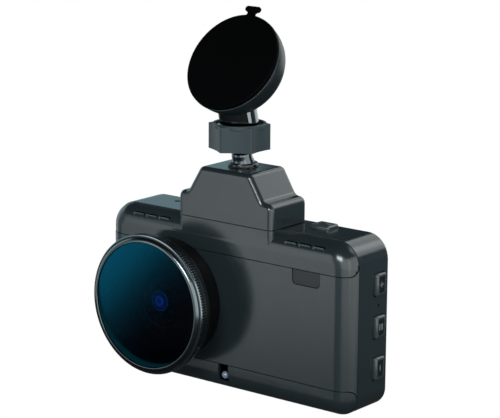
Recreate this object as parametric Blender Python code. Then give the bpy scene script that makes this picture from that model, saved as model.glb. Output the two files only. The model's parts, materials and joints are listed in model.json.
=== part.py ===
"""Dash camera on a clip-on bracket, a ball joint with a lock nut, and a suction cup.

All dimensions are millimetres in the camera frame: X across the body (0 at its middle),
Y back from the flat front face, Z up from the underside of the body. The finished objects
are in metres, moved so that the world origin is the middle of the suction pad's face.
"""
import math

import bmesh
import bpy
from mathutils import Matrix, Vector

MM = 0.001
GAP = 0.3

# Camera body
BODY_W = 96.0
BODY_H = 54.0
BODY_D = 20.8
TOP_CORNER_R = 7.5
LOW_CORNER_R = 5.8
FRONT_R = 4.8
BACK_R = 1.2
PARTING_Y = 5.1
WALL = 1.8
TOP_SEAM_Z = 44.1
LOW_SEAM_Z = 8.6
SEAM_TURN_Y = 1.8
SEAM_TURN_R = 3.3
SLOT_CENTRES = (-30.2, 30.6)
SLOT_ANGLE = 38.0
INDICATOR_Z = 4.9
SCREW_INSET = (4.6, 5.4)

# Lens, filter and optics, on an axis that points forward
LENS_X = -20.4
LENS_Z = 27.0
LENS_HOLE_R = 16.7
FILTER_R = 22.35
FILTER_FRONT_Y = -13.9

# Buttons
SIDE_BUTTON_Z = {"plus": 39.7, "menu": 26.4, "minus": 13.4}
SIDE_BUTTON_SIZE = (4.8, 7.0)
TOP_BUTTON_X = 27.3
TOP_BUTTON_SIZE = (7.0, 5.8)
BUTTON_Y = 15.4
BUTTON_PROUD = 1.2
BUTTON_DEPTH = 4.2
PINHOLE = (15.4, 33.0)
MIC_PORT = (-30.8, 14.4)

# Screen on the back
GLASS_SIZE = (80.0, 46.0)
LCD_SIZE = (70.0, 41.0)

# Bracket
BRACKET_HALF = 18.5
BRACKET_FRONT = 0.12
BRACKET_D = 18.1
BRACKET_TOP_Z = 70.5
BRACKET_TOP_HALF = 9.9
SHOULDER_Z = 61.8
SHOULDER_IN = 14.8
BRACKET_ROUND = 1.5
BRACKET_WALL = 2.0

# Ball joint and lock nut
BALL = Vector((0.0, 7.6, 80.0))
BALL_R = 4.2
LINER_IN_R = 4.5
LINER_OUT_R = 5.4
CAVITY_R = 5.7
STEM_LEAN = 12.0
STEM_HOLE_R = 2.75
NUT_LOW_Z = 76.3
NUT_TOP_Z = 84.2
NUT_CORNER_R = 9.85
NUT_BORE_R = 7.5
NUT_LIP_R = 6.2
NUT_LIP_Z = 78.2
NUT_TURN = 31.5
COLLAR_R = 7.2
COLLAR_Z = (78.6, 84.0)
NECK_R = 6.0
NECK_LEAN = 14.0
NECK_LENGTH = 11.2
NECK_ROOT = 1.6

# Suction cup
PAD_CENTRE = Vector((0.0, 3.4, 104.0))
PAD_RISE = 33.75
PAD_R = 16.1
PAD_T = 1.4

BODY_CENTRE = Vector((0.0, 8.5, BODY_H))
NECK_START = Vector((BALL.x, BALL.y, COLLAR_Z[1]))

FINISHES = {
    "anthracite": ((0.075, 0.088, 0.094), 0.38, 0.0),
    "anthracite_nut": ((0.062, 0.082, 0.092), 0.42, 0.0),
    "ring_black": ((0.020, 0.022, 0.024), 0.30, 0.6),
    "filter_blue": ((0.010, 0.075, 0.110), 0.05, 0.0),
    "lens_glass": ((0.020, 0.040, 0.120), 0.03, 0.0),
    "lens_black": ((0.010, 0.010, 0.012), 0.45, 0.0),
    "button_grey": ((0.110, 0.125, 0.132), 0.35, 0.0),
    "window_dark": ((0.045, 0.052, 0.055), 0.25, 0.0),
    "clear_bead": ((0.700, 0.740, 0.800), 0.08, 0.0),
    "screen_glass": ((0.006, 0.006, 0.008), 0.06, 0.0),
    "black_chrome": ((0.100, 0.100, 0.110), 0.12, 1.0),
    "pad_rubber": ((0.010, 0.010, 0.011), 0.55, 0.0),
    "dome_plastic": ((0.070, 0.084, 0.090), 0.40, 0.0),
    "board_green": ((0.015, 0.110, 0.050), 0.50, 0.0),
    "part_black": ((0.020, 0.020, 0.022), 0.55, 0.0),
    "steel": ((0.450, 0.450, 0.460), 0.35, 1.0),
    "nylon": ((0.600, 0.600, 0.560), 0.50, 0.0),
}


# ---------------------------------------------------------------- scene and frames

def clear_scene():
    for item in list(bpy.data.objects):
        bpy.data.objects.remove(item, do_unlink=True)


def finish_material(name):
    material = bpy.data.materials.get(name)
    if material:
        return material
    colour, roughness, metallic = FINISHES[name]
    material = bpy.data.materials.new(name)
    material.use_nodes = True
    shader = material.node_tree.nodes["Principled BSDF"]
    shader.inputs["Base Color"].default_value = (*colour, 1.0)
    shader.inputs["Roughness"].default_value = roughness
    shader.inputs["Metallic"].default_value = metallic
    return material


class Frame:
    """An empty at a pivot; the pieces of one moving body hang from it."""

    def __init__(self, name, pivot, parent=None):
        self.pivot = Vector(pivot)
        self.empty = bpy.data.objects.new(name, None)
        bpy.context.collection.objects.link(self.empty)
        base = parent.pivot if parent else PAD_CENTRE
        if parent:
            self.empty.parent = parent.empty
        self.empty.location = (self.pivot - base) * MM


def add_object(name, shape, frame):
    """Turn a bmesh in camera-frame millimetres into an object under its frame."""
    bmesh.ops.recalc_face_normals(shape, faces=shape.faces[:])
    bmesh.ops.transform(shape, matrix=Matrix.Scale(MM, 4) @ Matrix.Translation(-frame.pivot),
                        verts=shape.verts[:])
    mesh = bpy.data.meshes.new(name)
    shape.to_mesh(mesh)
    shape.free()
    item = bpy.data.objects.new(name, mesh)
    bpy.context.collection.objects.link(item)
    item.parent = frame.empty
    return item


def add_piece(name, shape, finish, frame, smooth_angle=32.0):
    item = add_object(name, shape, frame)
    item.data.materials.append(finish_material(finish))
    item.data.shade_smooth()
    item.data.set_sharp_from_angle(angle=math.radians(smooth_angle))
    return item


def boolean(item, shape, frame, operation="DIFFERENCE"):
    """Cut, join or trim an object with a hidden helper solid."""
    helper = add_object(f"{item.name}_{operation.lower()}_{len(item.modifiers)}", shape, frame)
    helper.hide_render = True
    helper.display_type = "WIRE"
    modifier = item.modifiers.new(operation.title(), "BOOLEAN")
    modifier.operation = operation
    modifier.object = helper
    modifier.solver = "EXACT"


def bevel(item, width, segments, angle=40.0):
    modifier = item.modifiers.new("Edge rounding", "BEVEL")
    modifier.width = width * MM
    modifier.segments = segments
    modifier.limit_method = "ANGLE"
    modifier.angle_limit = math.radians(angle)


# ---------------------------------------------------------------- shapes

def add_box(shape, low, high, rounding=0.0, segments=2):
    size = Vector(high) - Vector(low)
    middle = (Vector(high) + Vector(low)) / 2
    matrix = Matrix.Translation(middle) @ Matrix.Diagonal((*size, 1.0))
    made = bmesh.ops.create_cube(shape, size=1.0, matrix=matrix)
    if rounding:
        edges = list({edge for vert in made["verts"] for edge in vert.link_edges})
        bmesh.ops.bevel(shape, geom=edges, offset=rounding, segments=segments, profile=0.5,
                        affect="EDGES")


def box(low, high, rounding=0.0, segments=2):
    shape = bmesh.new()
    add_box(shape, low, high, rounding, segments)
    return shape


def add_revolve(shape, profile, centre, axis, segments=48):
    """Turn a closed (radius, distance along the axis) outline about the axis."""
    axis = Vector(axis).normalized()
    side = axis.orthogonal().normalized()
    verts = [shape.verts.new(Vector(centre) + side * r + axis * s) for r, s in profile]
    loop = list(zip(verts, verts[1:] + verts[:1]))
    on_axis = [r < 1e-6 for r, _ in profile]
    flags = list(zip(on_axis, on_axis[1:] + on_axis[:1]))
    edges = [shape.edges.new(pair) for pair, flag in zip(loop, flags) if not all(flag)]
    bmesh.ops.spin(shape, geom=verts + edges, cent=Vector(centre), axis=axis,
                   angle=math.tau, steps=segments, use_merge=True)
    bmesh.ops.remove_doubles(shape, verts=shape.verts[:], dist=1e-4)


def revolve(profile, centre, axis, segments=48):
    shape = bmesh.new()
    add_revolve(shape, profile, centre, axis, segments)
    return shape


def rod(radius, low, high):
    """Outline of a plain cylinder for revolve()."""
    return [(0.0, low), (radius, low), (radius, high), (0.0, high)]


def tube(inner, outer, low, high):
    """Outline of a plain ring for revolve()."""
    return [(inner, low), (outer, low), (outer, high), (inner, high)]


def arc(radius, start, end, steps, centre=(0.0, 0.0)):
    """Points of a circular arc, angles in degrees."""
    points = []
    for step in range(steps + 1):
        angle = math.radians(start + (end - start) * step / steps)
        points.append((centre[0] + radius * math.cos(angle), centre[1] + radius * math.sin(angle)))
    return points


def prism(outline, axis, low, high):
    """Extrude a closed outline of pairs along the named axis."""
    place = {"x": lambda a, b: (low, a, b), "y": lambda a, b: (a, low, b),
             "z": lambda a, b: (a, b, low)}[axis]
    direction = {"x": Vector((1, 0, 0)), "y": Vector((0, 1, 0)), "z": Vector((0, 0, 1))}[axis]
    shape = bmesh.new()
    face = shape.faces.new([shape.verts.new(place(a, b)) for a, b in outline])
    made = bmesh.ops.extrude_face_region(shape, geom=[face])
    moved = [item for item in made["geom"] if isinstance(item, bmesh.types.BMVert)]
    bmesh.ops.translate(shape, vec=direction * (high - low), verts=moved)
    return shape


def laid(shape, centre, across, out):
    """Move a shape drawn at the origin to a place, its X along across and its Z along out."""
    turn = Matrix((across, out.cross(across), out)).transposed().to_4x4()
    bmesh.ops.transform(shape, matrix=Matrix.Translation(centre) @ turn, verts=shape.verts[:])
    return shape


def body_outline(inset, steps=5):
    """Outline of the body with round corners, pulled in all round by an inset."""
    points = []
    corners = ((1, 0, LOW_CORNER_R, -90), (1, BODY_H, TOP_CORNER_R, 0),
               (-1, BODY_H, TOP_CORNER_R, 90), (-1, 0, LOW_CORNER_R, 180))
    for side, edge, radius, start in corners:
        x = side * (BODY_W / 2 - radius)
        z = abs(edge - radius)
        points += arc(radius - inset, start, start + 90, steps, (x, z))
    return points


def body_loft(sections):
    """Skin body outlines, given as (inset, y) pairs from front to back."""
    shape = bmesh.new()
    rings = []
    for inset, y in sections:
        rings.append([shape.verts.new((x, y, z)) for x, z in body_outline(inset)])
    for first, second in zip(rings, rings[1:]):
        for i in range(len(first)):
            j = (i + 1) % len(first)
            shape.faces.new((first[i], first[j], second[j], second[i]))
    shape.faces.new(rings[0])
    shape.faces.new(rings[-1])
    return shape


def front_sections(wall, last_y, steps=6):
    """Rounded front edge of the body at a given depth below its skin."""
    radius = FRONT_R - wall
    sections = []
    for step in range(steps + 1):
        angle = math.radians(90.0 * step / steps)
        sections.append((wall + radius * (1 - math.sin(angle)), wall + radius * (1 - math.cos(angle))))
    sections.append((wall, last_y))
    return sections


# ---------------------------------------------------------------- camera body

def seam_region(seam_z, upward, clearance):
    """Everything beyond a seam: level at the front, then turning along the parting line."""
    sign = 1.0 if upward else -1.0
    level = seam_z + sign * clearance
    turn = SEAM_TURN_R
    curve = arc(turn, -90, -5, 5, (SEAM_TURN_Y, level + turn))
    side = [(y - clearance, z) for y, z in curve]
    if not upward:
        side = [(y, 2 * level - z) for y, z in side]
    far = level + sign * 60.0
    return prism([(-10.0, level)] + side + [(side[-1][0], far), (-10.0, far)], "x", -60.0, 60.0)


def front_shell(name, camera):
    """One third of the front is kept from this hollow, rounded form."""
    item = add_piece(name, body_loft(front_sections(0.0, PARTING_Y - GAP / 2)), "anthracite", camera)
    boolean(item, body_loft(front_sections(WALL, PARTING_Y + 2.0)), camera)
    return item


def make_front_panel(camera):
    item = front_shell("front_panel", camera)
    boolean(item, seam_region(TOP_SEAM_Z, True, -GAP / 2), camera)
    boolean(item, seam_region(LOW_SEAM_Z, False, -GAP / 2), camera)
    boolean(item, revolve(rod(LENS_HOLE_R, -3.0, 6.0), (LENS_X, 0, LENS_Z), (0, 1, 0)), camera)
    boolean(item, prism(window_outline(0.0), "y", -1.0, 1.3), camera)
    sensor_port = box((28.3, 0.5, 40.8), (35.7, 4.0, 43.2))
    boolean(item, sensor_port, camera)


def window_outline(inset):
    """Sensor window: square top on the seam, two round corners below."""
    left, right, low, high = 26.7 + inset, 37.2 - inset, 39.3 + inset, 45.5
    if inset:
        high = TOP_SEAM_Z - GAP / 2
    radius = 1.5
    points = arc(radius, 180, 270, 4, (left + radius, low + radius))
    points += arc(radius, 270, 360, 4, (right - radius, low + radius))
    return points + [(right, high), (left, high)]


def slot_cutters(centre_x):
    """A shallow groove with three sound slots, laid on the rounded top edge."""
    shape = bmesh.new()
    add_box(shape, (-8.2, -1.0, -0.8), (8.2, 1.0, 1.5))
    for offset in (-5.2, 0.0, 5.2):
        add_box(shape, (offset - 1.9, -0.4, -4.0), (offset + 1.9, 0.4, 1.0))
    angle = math.radians(SLOT_ANGLE)
    out = Vector((0, -math.cos(angle), math.sin(angle)))
    across = Vector((1, 0, 0))
    surface = Vector((centre_x, FRONT_R, BODY_H - FRONT_R)) + out * FRONT_R
    return laid(shape, surface, across, out)


def make_top_front_cap(camera):
    item = front_shell("top_front_cap", camera)
    boolean(item, seam_region(TOP_SEAM_Z, True, GAP / 2), camera, "INTERSECT")
    pedestal = box((-BRACKET_HALF, BRACKET_FRONT, BODY_H - 5.6),
                   (BRACKET_HALF, PARTING_Y - GAP / 2, BODY_H))
    boolean(item, pedestal, camera, "UNION")
    for centre_x in SLOT_CENTRES:
        boolean(item, slot_cutters(centre_x), camera)


def make_bottom_front_cap(camera):
    item = front_shell("bottom_front_cap", camera)
    boolean(item, seam_region(LOW_SEAM_Z, False, GAP / 2), camera, "INTERSECT")
    boolean(item, box((-2.0, -1.0, 3.4), (2.0, 1.2, 12.0)), camera)
    boolean(item, revolve(rod(1.75, -1.0, 2.6), (0, 0, INDICATOR_Z), (0, 1, 0), 20), camera)


def rear_shell_openings():
    """All the windows and holes of the rear shell as one set of cutters."""
    shape = bmesh.new()
    middle = BODY_H / 2
    glass_w, glass_h = (value / 2 + GAP for value in GLASS_SIZE)
    lcd_w, lcd_h = (value / 2 - 1.0 for value in LCD_SIZE)
    add_box(shape, (-glass_w, BODY_D - 1.2, middle - glass_h), (glass_w, BODY_D + 1, middle + glass_h))
    add_box(shape, (-lcd_w, 17.0, middle - lcd_h), (lcd_w, BODY_D - 1.0, middle + lcd_h))
    half_y, half_z = (value / 2 + GAP for value in SIDE_BUTTON_SIZE)
    for z in SIDE_BUTTON_Z.values():
        add_box(shape, (44.0, BUTTON_Y - half_y, z - half_z), (50.0, BUTTON_Y + half_y, z + half_z))
    half_x, half_y = (value / 2 + GAP for value in TOP_BUTTON_SIZE)
    add_box(shape, (TOP_BUTTON_X - half_x, BUTTON_Y - half_y, 51.0),
            (TOP_BUTTON_X + half_x, BUTTON_Y + half_y, 56.0))
    add_box(shape, (-5.3, 7.7, 51.0), (5.3, 12.3, 56.0))
    add_box(shape, (-50.0, 12.2, 20.6), (-44.0, 14.0, 32.4))
    add_box(shape, (-50.0, 11.3, 8.2), (-44.0, 15.1, 17.8))
    return shape


def rear_shell_drillings():
    """Round holes: screws, the reset pinhole and the microphone port."""
    shape = bmesh.new()
    for x, z in screw_places():
        profile = [(0, 18.0), (1.2, 18.0), (1.2, BODY_D - 1.1), (1.9, BODY_D - 1.1),
                   (1.9, BODY_D + 1.0), (0, BODY_D + 1.0)]
        add_revolve(shape, profile, (x, 0, z), (0, 1, 0), 16)
    add_revolve(shape, rod(0.5, 44.0, 50.0), (0, *PINHOLE), (1, 0, 0), 12)
    add_revolve(shape, rod(1.1, 50.0, 56.0), (*MIC_PORT, 0), (0, 0, 1), 16)
    return shape


def make_rear_shell(camera):
    sections = [(0.0, PARTING_Y + GAP / 2)]
    for step in range(4):
        angle = math.radians(30.0 * step)
        sections.append((BACK_R * (1 - math.cos(angle)), BODY_D - BACK_R * (1 - math.sin(angle))))
    item = add_piece("rear_shell", body_loft(sections), "anthracite", camera)
    boolean(item, body_loft([(WALL, PARTING_Y - 2.0), (WALL, BODY_D - WALL)]), camera)
    boolean(item, rear_shell_openings(), camera)
    boolean(item, rear_shell_drillings(), camera)


def screw_places():
    across, up = BODY_W / 2 - SCREW_INSET[0], SCREW_INSET[1]
    return [(x, z) for x in (-across, across) for z in (up, BODY_H - up)]


def make_body_screws(camera):
    profile = [(0, 12.0), (0.9, 12.0), (0.9, 20.0), (1.6, 20.0), (1.6, 20.6), (0, 20.6)]
    for number, (x, z) in enumerate(screw_places(), 1):
        shape = revolve(profile, (x, 0, z), (0, 1, 0), 16)
        add_piece(f"body_screw_{number}", shape, "steel", camera)


def make_front_details(camera):
    window = prism(window_outline(GAP), "y", 0.1, 1.0)
    add_piece("sensor_window", window, "window_dark", camera)
    bead = [(0, 0.9), (0.7, 0.9), (1.35, 1.2), (1.45, 1.8), (1.45, 2.3), (0, 2.3)]
    lens = revolve(bead, (0, 0, INDICATOR_Z), (0, 1, 0), 20)
    add_piece("indicator_lens", lens, "clear_bead", camera)
    sensor = box((28.0, 2.2, 40.0), (36.0, 5.2, 43.6), 0.2, 1)
    add_piece("light_sensor_module", sensor, "part_black", camera)


def make_screen(camera):
    middle = BODY_H / 2
    glass_w, glass_h = (value / 2 for value in GLASS_SIZE)
    lcd_w, lcd_h = (value / 2 for value in LCD_SIZE)
    glass = box((-glass_w, BODY_D - 0.9, middle - glass_h), (glass_w, BODY_D, middle + glass_h),
                0.2, 1)
    add_piece("display_glass", glass, "screen_glass", camera)
    panel = box((-lcd_w, 16.2, middle - lcd_h), (lcd_w, 18.7, middle + lcd_h), 0.3, 1)
    add_piece("lcd_panel", panel, "part_black", camera)


def make_electronics(camera):
    blocks = {
        "main_board": ((-40.0, 10.0, 6.0), (38.0, 11.2, 48.0), "board_green"),
        "sensor_board": ((-31.4, 6.9, 16.0), (-9.4, 7.9, 38.0), "board_green"),
        "heat_spreader": ((-33.0, 8.4, 15.0), (-8.0, 9.4, 39.0), "steel"),
        "image_sensor": ((-23.9, 5.6, 24.3), (-16.9, 6.5, 29.7), "part_black"),
        "button_board": ((40.6, 12.6, 8.0), (41.7, 18.2, 45.0), "board_green"),
        "speaker": ((24.0, 2.6, 44.8), (40.0, 8.4, 49.2), "part_black"),
        "keeper_plate": ((-15.0, 6.6, 50.7), (15.0, 15.6, 51.9), "steel"),
        "contact_pads": ((-5.0, 8.0, 52.3), (5.0, 12.0, 53.8), "nylon"),
    }
    for name, (low, high, finish) in blocks.items():
        add_piece(name, box(low, high, 0.2, 1), finish, camera)
    for name, z in SIDE_BUTTON_Z.items():
        switch = box((42.0, BUTTON_Y - 1.5, z - 1.5), (44.2, BUTTON_Y + 1.5, z + 1.5), 0.2, 1)
        add_piece(f"{name}_switch", switch, "steel", camera)
    low = (TOP_BUTTON_X - 1.5, BUTTON_Y - 1.5, 48.0)
    high = (TOP_BUTTON_X + 1.5, BUTTON_Y + 1.5, 50.2)
    add_piece("power_switch", box(low, high, 0.2, 1), "steel", camera)
    microphone = revolve(rod(2.0, 49.6, 51.8), (*MIC_PORT, 0), (0, 0, 1), 20)
    add_piece("microphone", microphone, "steel", camera)
    for number, z in enumerate((22.0, 30.5), 1):
        can = [(0, 2.0), (3.2, 2.0), (3.5, 2.4), (3.5, 21.6), (3.2, 22.0), (0, 22.0)]
        shape = revolve(can, (1.5, 6.0, z), (1, 0, 0), 16)
        add_piece(f"supercapacitor_{number}", shape, "part_black", camera)


def make_sockets(camera):
    shell = box((-45.7, 11.6, 19.4), (-31.5, 14.6, 33.6), 0.2, 1)
    card = add_piece("card_socket", shell, "steel", camera)
    boolean(card, box((-50.0, 12.3, 20.7), (-32.0, 13.9, 32.3)), camera)
    shell = box((-47.4, 11.6, 8.5), (-39.8, 14.8, 17.5), 0.5, 2)
    usb = add_piece("usb_socket", shell, "steel", camera)
    boolean(usb, box((-50.0, 12.1, 9.1), (-41.0, 14.3, 16.9)), camera)


# ---------------------------------------------------------------- lens

def make_lens(camera):
    centre = (LENS_X, 0.0, LENS_Z)
    forward = (0, 1, 0)
    shroud = [(9.9, 2.2), (16.4, 2.2), (16.4, -0.3), (19.4, -0.3), (20.5, -6.6), (20.5, -7.0),
              (18.9, -7.0), (18.6, -6.4), (10.4, -1.6), (9.9, -1.2)]
    add_piece("lens_shroud", revolve(shroud, centre, forward, 44), "anthracite", camera)
    mount = [(19.0, -7.3), (21.0, -7.3), (21.3, -7.6), (21.3, -9.5), (19.0, -9.5)]
    add_piece("filter_mount_ring", revolve(mount, centre, forward, 44), "ring_black", camera)
    barrel = [(4.6, 4.5), (9.3, 4.5), (9.3, -5.2), (8.9, -5.6), (7.4, -5.6), (7.1, -1.0),
              (4.6, 0.5)]
    add_piece("lens_barrel", revolve(barrel, centre, forward, 28), "lens_black", camera)
    front = [(0, -6.9), (2.0, -6.75), (4.0, -6.2), (5.6, -5.3), (6.7, -4.2), (6.7, -3.3), (0, -3.3)]
    add_piece("front_element", revolve(front, centre, forward, 24), "lens_glass", camera)
    stop = revolve(tube(2.2, 6.6, -2.7, -2.0), centre, forward, 24)
    add_piece("aperture_ring", stop, "part_black", camera)
    rear = [(0, 0.9), (2.5, 1.2), (4.2, 1.9), (4.2, 2.9), (2.5, 3.5), (0, 3.8)]
    add_piece("rear_element", revolve(rear, centre, forward, 20), "lens_glass", camera)
    holder = box((LENS_X - 9.5, 4.8, LENS_Z - 9.5), (LENS_X + 9.5, 6.6, LENS_Z + 9.5), 0.3, 1)
    item = add_piece("lens_holder", holder, "part_black", camera)
    boolean(item, revolve(rod(5.2, 3.0, 8.0), centre, forward, 32), camera)


def make_filter(camera):
    spin = Frame("filter_axis", (LENS_X, -10.0, LENS_Z), camera)
    centre = (LENS_X, 0.0, LENS_Z)
    forward = (0, 1, 0)
    front = FILTER_FRONT_Y
    ring = [(19.3, -9.8), (22.1, -9.8), (FILTER_R, -10.05), (FILTER_R, -12.0), (22.0, -12.4),
            (21.4, -12.5), (20.3, front), (20.05, front), (20.05, -12.6), (19.3, -12.6)]
    add_piece("filter_ring", revolve(ring, centre, forward, 52), "ring_black", spin)
    glass = [(0, front + 0.25), (19.6, front + 0.25), (19.75, front + 0.4), (19.75, -12.9),
             (0, -12.9)]
    add_piece("filter_glass", revolve(glass, centre, forward, 48), "filter_blue", spin)
    retainer = revolve(tube(18.1, 19.0, -12.3, -11.2), centre, forward, 40)
    add_piece("filter_retainer", retainer, "ring_black", spin)


# ---------------------------------------------------------------- moving controls

def make_buttons(camera):
    half_y, half_z = (value / 2 for value in SIDE_BUTTON_SIZE)
    outside = BODY_W / 2 + BUTTON_PROUD
    for name, z in SIDE_BUTTON_Z.items():
        press = Frame(f"{name}_press", (BODY_W / 2, BUTTON_Y, z), camera)
        shape = box((outside - BUTTON_DEPTH, BUTTON_Y - half_y, z - half_z),
                    (outside, BUTTON_Y + half_y, z + half_z), 0.7, 3)
        add_piece(f"{name}_button", shape, "button_grey", press)
    half_x, half_y = (value / 2 for value in TOP_BUTTON_SIZE)
    top = BODY_H + BUTTON_PROUD
    press = Frame("power_press", (TOP_BUTTON_X, BUTTON_Y, BODY_H), camera)
    shape = box((TOP_BUTTON_X - half_x, BUTTON_Y - half_y, top - BUTTON_DEPTH),
                (TOP_BUTTON_X + half_x, BUTTON_Y + half_y, top), 0.7, 3)
    add_piece("power_button", shape, "button_grey", press)


def make_memory_card(camera):
    slide = Frame("card_slide", (-40.0, 13.1, 26.5), camera)
    outline = [(-47.6, 21.0), (-34.6, 21.0), (-32.6, 23.0), (-32.6, 32.0), (-47.6, 32.0)]
    add_piece("memory_card", prism(outline, "y", 12.6, 13.6), "part_black", slide)


# ---------------------------------------------------------------- bracket

def bracket_outline(half, top_half, shoulder_in, low, shoulder, top):
    right = [(half, low), (half, shoulder), (shoulder_in, shoulder + 0.5), (top_half, top)]
    return right + [(-x, z) for x, z in reversed(right)]


def stem_axis():
    lean = math.radians(STEM_LEAN)
    return Vector((0, math.sin(lean), -math.cos(lean)))


def make_bracket_housing(bracket):
    outline = bracket_outline(BRACKET_HALF, BRACKET_TOP_HALF, SHOULDER_IN, BODY_H - 4.0,
                              SHOULDER_Z, BRACKET_TOP_Z)
    shape = prism(outline, "y", BRACKET_FRONT, BRACKET_D)
    item = add_piece("bracket_housing", shape, "anthracite", bracket)
    bevel(item, BRACKET_ROUND, 3)
    boolean(item, box((-30, -10, 40), (30, 30, BODY_H + GAP)), bracket)
    wall = BRACKET_WALL
    inner = bracket_outline(BRACKET_HALF - wall, BRACKET_TOP_HALF - 1.4, SHOULDER_IN - 1.8,
                            BODY_H - 6, SHOULDER_Z - wall, BRACKET_TOP_Z - wall)
    boolean(item, prism(inner, "y", BRACKET_FRONT + wall, BRACKET_D - wall), bracket)
    boolean(item, revolve(rod(STEM_HOLE_R, 6.0, 16.0), BALL, stem_axis(), 24), bracket)


def make_bracket_parts(bracket):
    low = BODY_H + GAP + 0.2
    shape = box((-16.1, 2.5, low), (16.1, 15.7, low + 1.2), 0.2, 1)
    plate = add_piece("bracket_plate", shape, "part_black", bracket)
    boolean(plate, box((-5.4, 7.6, 50), (5.4, 12.4, 60)), bracket)
    contact = box((-5.0, 8.0, low), (5.0, 12.0, low + 3.2), 0.2, 1)
    add_piece("contact_block", contact, "nylon", bracket)
    for name, side in (("magnet_left", -1), ("magnet_right", 1)):
        ends = sorted((side * 7.0, side * 15.0))
        magnet = box((ends[0], 4.2, low + 1.5), (ends[1], 12.9, low + 4.3), 0.3, 1)
        add_piece(name, magnet, "steel", bracket)
    back = (BALL.z - BRACKET_TOP_Z - 0.8) * math.tan(math.radians(STEM_LEAN))
    profile = tube(3.85, 4.75, BRACKET_TOP_Z + GAP, BRACKET_TOP_Z + 1.3)
    ring = revolve(profile, (0, BALL.y + back, 0), (0, 0, 1), 28)
    add_piece("stem_base_ring", ring, "black_chrome", bracket)


# ---------------------------------------------------------------- ball joint and cup

def make_ball_stem(stem):
    start = math.degrees(math.asin(math.sqrt(BALL_R ** 2 - 2.4 ** 2) / BALL_R))
    profile = [(0.0, -BALL_R)] + arc(BALL_R, -75, start, 8)
    profile += [(2.4, 4.4), (3.15, 5.3), (3.45, 8.2), (3.45, 8.6), (2.4, 8.6), (2.4, 15.6),
                (0, 15.6)]
    add_piece("ball_stem", revolve(profile, BALL, stem_axis(), 24), "black_chrome", stem)
    hexagon = [(0.0, 13.0), (4.0, 13.0), (4.0, 15.2), (0.0, 15.2)]
    nut = add_piece("stem_nut", revolve(hexagon, BALL, stem_axis(), 6), "steel", stem)
    boolean(nut, revolve(rod(2.7, 11.0, 17.0), BALL, stem_axis(), 20), stem)


def make_socket_liner(liner):
    outer = arc(LINER_OUT_R, -22, 75, 6)
    inner = arc(LINER_IN_R, 75, -22, 6)
    profile = outer + [(0.0, LINER_OUT_R), (0.0, LINER_IN_R)] + inner
    add_piece("socket_liner", revolve(profile, BALL, (0, 0, 1), 24), "nylon", liner)


def make_lock_nut(turn):
    corners = [(BALL.x + x, BALL.y + y) for x, y in arc(NUT_CORNER_R, NUT_TURN, NUT_TURN + 300, 5)]
    item = add_piece("lock_nut", prism(corners, "z", NUT_LOW_Z, NUT_TOP_Z), "anthracite_nut", turn)
    bevel(item, 0.5, 2)
    bore = [(0, 70.0), (NUT_LIP_R, 70.0), (NUT_LIP_R, NUT_LIP_Z), (NUT_BORE_R, NUT_LIP_Z),
            (NUT_BORE_R, 90.0), (0, 90.0)]
    boolean(item, revolve(bore, (BALL.x, BALL.y, 0), (0, 0, 1), 40), turn)


def pad_normal():
    rise = math.radians(PAD_RISE)
    return Vector((0, -math.cos(rise), math.sin(rise)))


def neck_axis():
    lean = math.radians(NECK_LEAN)
    return Vector((0, -math.sin(lean), math.cos(lean)))


def make_neck(root):
    collar = revolve(rod(COLLAR_R, *COLLAR_Z), (BALL.x, BALL.y, 0), (0, 0, 1), 32)
    item = add_piece("socket_neck", collar, "black_chrome", root)
    neck = rod(NECK_R, -NECK_ROOT, NECK_LENGTH)
    boolean(item, revolve(neck, NECK_START, neck_axis(), 32), root, "UNION")
    ball = [(0.0, -CAVITY_R)] + arc(CAVITY_R, -72, 72, 8) + [(0.0, CAVITY_R)]
    boolean(item, revolve(ball, BALL, (0, 0, 1), 24), root)


def make_suction_cup(root):
    back = -pad_normal()
    dome = [(0.0, PAD_T + GAP), (15.6, PAD_T + GAP), (15.9, 2.1), (15.8, 3.4), (15.4, 5.2),
            (14.7, 7.2), (13.6, 9.2), (12.1, 10.9), (10.0, 12.2), (7.0, 12.9), (0.0, 13.3)]
    item = add_piece("suction_dome", revolve(dome, PAD_CENTRE, back, 40), "dome_plastic", root)
    clearance = rod(NECK_R + GAP, -NECK_ROOT, NECK_LENGTH + GAP)
    boolean(item, revolve(clearance, NECK_START, neck_axis(), 32), root)
    disc = [(0.0, 0.0), (15.3, 0.0), (PAD_R, 0.4), (PAD_R, PAD_T), (0.0, PAD_T)]
    pad = add_piece("suction_pad", revolve(disc, PAD_CENTRE, back, 40), "pad_rubber", root)
    boolean(pad, pull_tab(), root, "UNION")


def pull_tab():
    """T-shaped tab in the plane of the pad, at its upper edge."""
    outline = [(2.1, 15.0), (1.45, 16.2), (1.45, 16.9)] + arc(0.95, -90, 90, 5, (1.95, 18.15))
    outline += [(-x, y) for x, y in reversed(outline)]
    shape = prism(outline, "z", 0.15 - PAD_T, -0.15)
    return laid(shape, PAD_CENTRE, Vector((1, 0, 0)), pad_normal())


# ---------------------------------------------------------------- assembly

def build():
    clear_scene()
    root = Frame("suction_mount", PAD_CENTRE)
    nut = Frame("lock_nut_axis", (BALL.x, BALL.y, (NUT_LOW_Z + NUT_TOP_Z) / 2), root)
    liner = Frame("side_lean_axis", BALL, root)
    stem = Frame("tilt_axis", BALL, liner)
    bracket = Frame("turn_axis", BALL, stem)
    camera = Frame("camera_slide", BODY_CENTRE, bracket)
    make_suction_cup(root)
    make_neck(root)
    make_lock_nut(nut)
    make_socket_liner(liner)
    make_ball_stem(stem)
    make_bracket_housing(bracket)
    make_bracket_parts(bracket)
    make_front_panel(camera)
    make_top_front_cap(camera)
    make_bottom_front_cap(camera)
    make_rear_shell(camera)
    make_body_screws(camera)
    make_front_details(camera)
    make_screen(camera)
    make_electronics(camera)
    make_sockets(camera)
    make_lens(camera)
    make_filter(camera)
    make_buttons(camera)
    make_memory_card(camera)


build()
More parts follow.
